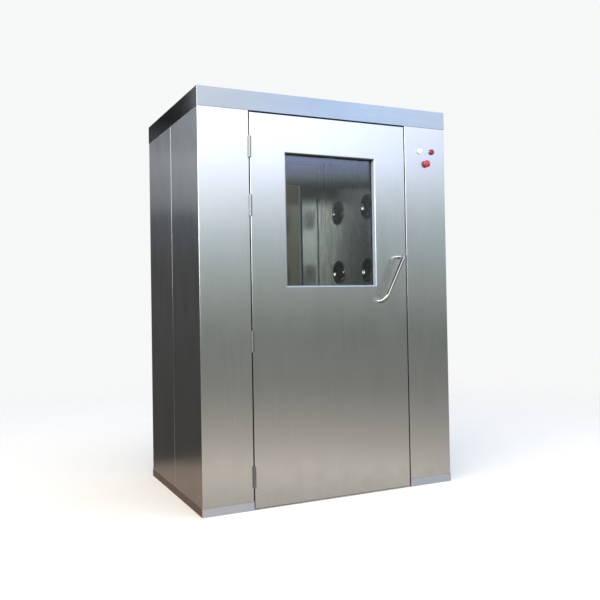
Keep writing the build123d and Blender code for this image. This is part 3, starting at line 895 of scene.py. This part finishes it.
# --------------------------------------------------------------------- light
def studio():
    """A soft surround: bright above the eye line in front, darker behind, warm
    and pale below.  The camera itself sees a plain pale backdrop."""
    w = bpy.data.worlds.new("soft_surround")
    scene.world = w
    w.use_nodes = True
    k = Nodes(w.node_tree)
    d = k.vec("NORMALIZE", k.add("ShaderNodeTexCoord").outputs["Generated"])
    sep = k.add("ShaderNodeSeparateXYZ")
    k.put(sep.inputs[0], d)
    x, y, z = sep.outputs
    up = k.remap(z, -0.5, 0.5)

    def p(deg):
        return max(0.0, min(1.0, math.sin(math.radians(deg)) + 0.5))

    # colours are halves of the light's strength, so the ramp can hold them
    def stops(*rows):
        return [(p(a), (r / 2, g / 2, b / 2)) for a, r, g, b in rows]

    front = k.ramp(up, stops(
        (-30, 0.42, 0.39, 0.35), (-16, 0.58, 0.54, 0.48), (-14.4, 0.70, 0.64, 0.56),
        (-13.4, 1.55, 1.36, 1.14), (-12.5, 0.70, 0.61, 0.53), (-9, 0.44, 0.405, 0.35),
        (-7, 0.265, 0.257, 0.225), (-4.5, 0.285, 0.285, 0.256), (-2.8, 0.17, 0.19, 0.168),
        (0.5, 0.45, 0.46, 0.40), (3.6, 0.63, 0.72, 0.705), (5.2, 0.75, 0.87, 0.89),
        (6.75, 1.16, 1.26, 1.32), (8.3, 1.41, 1.49, 1.56), (11.4, 1.66, 1.62, 1.64),
        (15, 2.00, 1.94, 1.96), (20, 1.15, 1.35, 1.60), (30, 0.55, 0.76, 1.04)))
    back = k.ramp(up, stops(
        (-30, 0.24, 0.17, 0.13), (-13.5, 0.36, 0.27, 0.215), (-12.7, 0.33, 0.25, 0.21),
        (-12.2, 0.066, 0.061, 0.057), (3.3, 0.068, 0.066, 0.066),
        (4.8, 0.092, 0.10, 0.115), (6.4, 0.12, 0.13, 0.145), (7.3, 0.34, 0.36, 0.39),
        (10.7, 0.54, 0.565, 0.60), (14, 0.62, 0.66, 0.72), (30, 0.52, 0.57, 0.64)))
    # warmer and darker behind on the right
    brown = k.remap(x, 0.10, 0.38, 0.0, 1.0, smooth=True)
    back = k.mix(k.math("MULTIPLY", brown, k.remap(z, 0.30, 0.16)), back,
                 (0.034, 0.031, 0.021, 1))

    # the front's tint from left to right, in halves: low, at mid height, high
    flat = k.vec("NORMALIZE", k.vec("MULTIPLY", d, (1, 1, 0)))
    fs = k.add("ShaderNodeSeparateXYZ")
    k.put(fs.inputs[0], flat)
    across = k.remap(fs.outputs["X"], 0.25, 0.65)

    def tint(*rows):
        return k.ramp(across, [((a - 0.25) / 0.40, (r / 2, g / 2, b / 2))
                               for a, r, g, b in rows])

    low = tint((0.40, 1.0, 1.0, 1.0), (0.58, 0.82, 0.85, 0.89))
    mid = tint((0.40, 1.0, 1.0, 1.0), (0.53, 0.80, 0.83, 0.86), (0.56, 0.63, 0.65, 0.665))
    top = tint((0.40, 1.0, 1.0, 1.0), (0.56, 0.50, 0.53, 0.565))
    high = tint((0.31, 1.50, 1.30, 1.12), (0.36, 1.0, 0.98, 0.98), (0.41, 0.90, 0.92, 0.94),
                (0.47, 0.62, 0.82, 1.0), (0.51, 0.70, 0.95, 1.15),
                (0.56, 1.35, 1.42, 1.55))
    shade = k.mix(k.remap(z, 0.05, 0.10), low, mid)
    shade = k.mix(k.remap(z, 0.15, 0.21), shade, top)
    shade = k.mix(k.remap(z, 0.25, 0.29), shade, high)
    shade = k.vec("MULTIPLY", shade, (2, 2, 2))
    front = k.vec("MULTIPLY", front, shade)
    # straight behind the camera: shaded at mid height, blue and bright above
    middle = k.math("MULTIPLY", k.remap(fs.outputs["X"], 0.39, 0.42, smooth=True),
                    k.remap(fs.outputs["X"], 0.55, 0.52, smooth=True))
    dim = k.math("MULTIPLY", k.remap(z, -0.03, 0.05, smooth=True),
                 k.remap(z, 0.168, 0.145, smooth=True))
    front = k.mix(k.math("MULTIPLY", middle, dim), front, (0.42, 0.42, 0.42, 1),
                  "MULTIPLY")
    lift = k.math("MULTIPLY", k.remap(z, 0.150, 0.190, smooth=True),
                  k.remap(z, 0.27, 0.24, smooth=True))
    front = k.mix(k.math("MULTIPLY", middle, lift), front,
                  k.vec("MULTIPLY", front, (1.45, 1.72, 2.7)))
    side = k.remap(y, -0.30, 0.55, smooth=True)
    col = k.mix(side, front, back)
    # a wide soft lamp band in front on the left, above eye height
    lamp = k.remap(k.vec("DOT_PRODUCT", flat, (-0.80, -0.60, 0.0)), 0.80, 0.93,
                   smooth=True)
    lamp = k.math("MULTIPLY", lamp, k.remap(z, -0.04, 0.12, smooth=True))
    lamp = k.math("MULTIPLY", lamp, k.remap(z, 0.52, 0.42, smooth=True))
    col = k.mix(lamp, col, (2.6, 2.6, 2.5, 1))
    # dark above on the left
    high = k.math("MULTIPLY", k.remap(x, -0.22, -0.50, smooth=True),
                  k.remap(z, 0.46, 0.56, smooth=True))
    col = k.mix(k.math("MULTIPLY", high, 0.92), col, (0.012, 0.014, 0.026, 1))
    # a dark field high up behind, just left of the axis
    field = k.math("MULTIPLY", k.remap(fs.outputs["X"], -0.318, -0.294, smooth=True),
                   k.remap(fs.outputs["X"], -0.02, -0.05, smooth=True))
    field = k.math("MULTIPLY", field, k.remap(y, 0.2, 0.4))
    field = k.math("MULTIPLY", field, k.remap(z, 0.185, 0.205))
    field = k.math("MULTIPLY", field, k.remap(z, 0.80, 0.60))
    col = k.mix(k.math("MULTIPLY", field, 0.99), col, (0.006, 0.006, 0.006, 1))
    # and a dimmer one below it, nearer the axis
    field = k.math("MULTIPLY", k.remap(fs.outputs["X"], -0.285, -0.250, smooth=True),
                   k.remap(fs.outputs["X"], 0.06, 0.0, smooth=True))
    field = k.math("MULTIPLY", field, k.remap(y, 0.2, 0.4))
    field = k.math("MULTIPLY", field, k.remap(z, 0.05, 0.09))
    field = k.math("MULTIPLY", field, k.remap(z, 0.24, 0.21))
    col = k.mix(k.math("MULTIPLY", field, 0.92), col, (0.04, 0.04, 0.04, 1))
    surround = k.add("ShaderNodeBackground")
    k.put(surround.inputs["Color"], col)
    surround.inputs["Strength"].default_value = 2.0
    plain = k.add("ShaderNodeBackground")
    plain.inputs["Color"].default_value = (0.93, 0.935, 0.94, 1)
    plain.inputs["Strength"].default_value = 1.0
    lp = k.add("ShaderNodeLightPath")
    clear_view = k.math("LESS_THAN", lp.outputs["Transparent Depth"], 3.5)
    seen = k.math("MULTIPLY", lp.outputs["Is Camera Ray"], clear_view)
    mx = k.add("ShaderNodeMixShader")
    k.put(mx.inputs[0], seen)
    k.t.links.new(surround.outputs[0], mx.inputs[1])
    k.t.links.new(plain.outputs[0], mx.inputs[2])
    out = k.add("ShaderNodeOutputWorld")
    k.t.links.new(mx.outputs[0], out.inputs["Surface"])


studio()


def area(name, where, at, size, power, colour=(1, 1, 1)):
    li = bpy.data.lights.new(name, "AREA")
    li.shape = "DISK"
    li.size = size
    li.energy = power
    li.color = colour
    o = bpy.data.objects.new(name, li)
    scene.collection.objects.link(o)
    o.location = where
    o.rotation_euler = (Vector(at) - Vector(where)).to_track_quat("-Z", "Y").to_euler()
    o.visible_glossy = False
    return o


area("overhead_soft", (-1.0, -1.6, 6.0), (0, 0, 0.3), 6.0, 240, (1.0, 0.95, 0.88))

scene.view_settings.view_transform = "Standard"
scene.view_settings.look = "None"
scene.view_settings.exposure = 0.0
scene.view_settings.gamma = 1.0


# -------------------------------------------------------------------- camera
cam_data = bpy.data.cameras.new("camera")
cam = bpy.data.objects.new("camera", cam_data)
scene.collection.objects.link(cam)
yaw, pitch, roll = (math.radians(a) for a in (25.422, 0.9974, -0.9658))
forward = Vector((math.sin(yaw) * math.cos(pitch), math.cos(yaw) * math.cos(pitch),
                  math.sin(pitch)))
right0 = Vector((math.cos(yaw), -math.sin(yaw), 0.0))
up0 = right0.cross(forward)
right = right0 * math.cos(roll) + up0 * math.sin(roll)
upward = up0 * math.cos(roll) - right0 * math.sin(roll)
m = Matrix((right, upward, -forward)).transposed().to_4x4()
m.translation = Vector((-1.7214, -3.6923, 1.0069))
cam.matrix_world = m
cam_data.sensor_width = 36.0
cam_data.lens = 43.68
cam_data.shift_x = 0.0
cam_data.shift_y = -0.0258
cam_data.clip_start, cam_data.clip_end = 0.05, 100.0
scene.camera = cam
